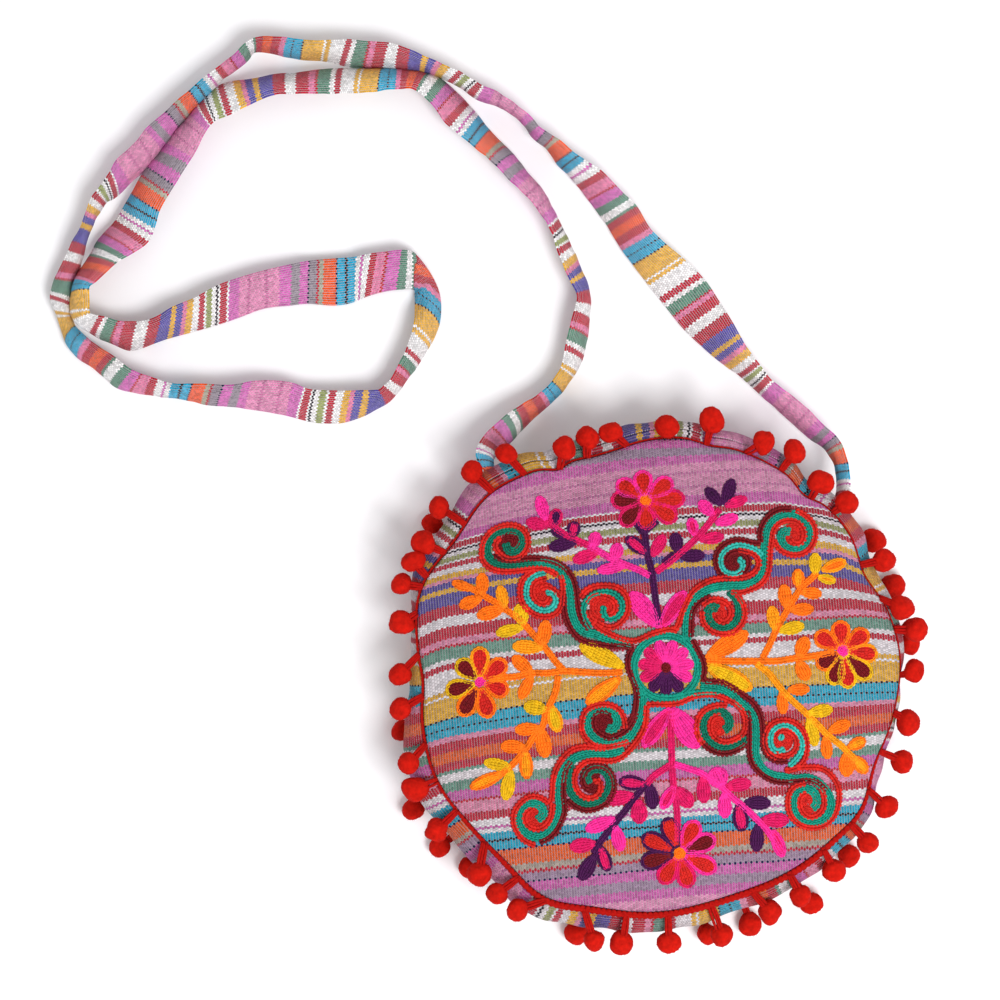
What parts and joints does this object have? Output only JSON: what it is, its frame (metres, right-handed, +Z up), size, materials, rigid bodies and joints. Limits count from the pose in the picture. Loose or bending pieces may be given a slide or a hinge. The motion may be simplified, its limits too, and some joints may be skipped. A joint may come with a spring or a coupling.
{
  "type": "shoulder bag",
  "caption": "Round striped woven shoulder bag with an embroidered front, pompom trim in both seams and a long cloth strap, lying on its back.",
  "frame": {"origin": "centre of the flat back panel, on the surface that the bag lies on", "axes": "+Z up through the front panel, +Y towards the mouth at the top of the bag, +X to the right seen from the front"},
  "size_m": [0.3939, 0.4096, 0.05],
  "materials": {
    "embroidered_stripe": "ribbed handwoven cotton in many stripes, with wool chain stitch",
    "woven_stripe": "ribbed handwoven cotton in many stripes",
    "strap_stripe": "ribbed handwoven cotton in many stripes, folded and topstitched",
    "red_pompom": "matt red felted wool and braid",
    "zip_tape": "plain dark woven tape"
  },
  "bodies": {
    "root": {"front_panel": "embroidered_stripe", "back_panel": "woven_stripe", "gusset_lower": "woven_stripe", "gusset_top_front": "woven_stripe", "gusset_top_back": "woven_stripe", "mouth_zip": "zip_tape", "front_pompom_trim": "red_pompom", "back_pompom_trim": "red_pompom", "strap": "strap_stripe"}
  },
  "joints": []
}
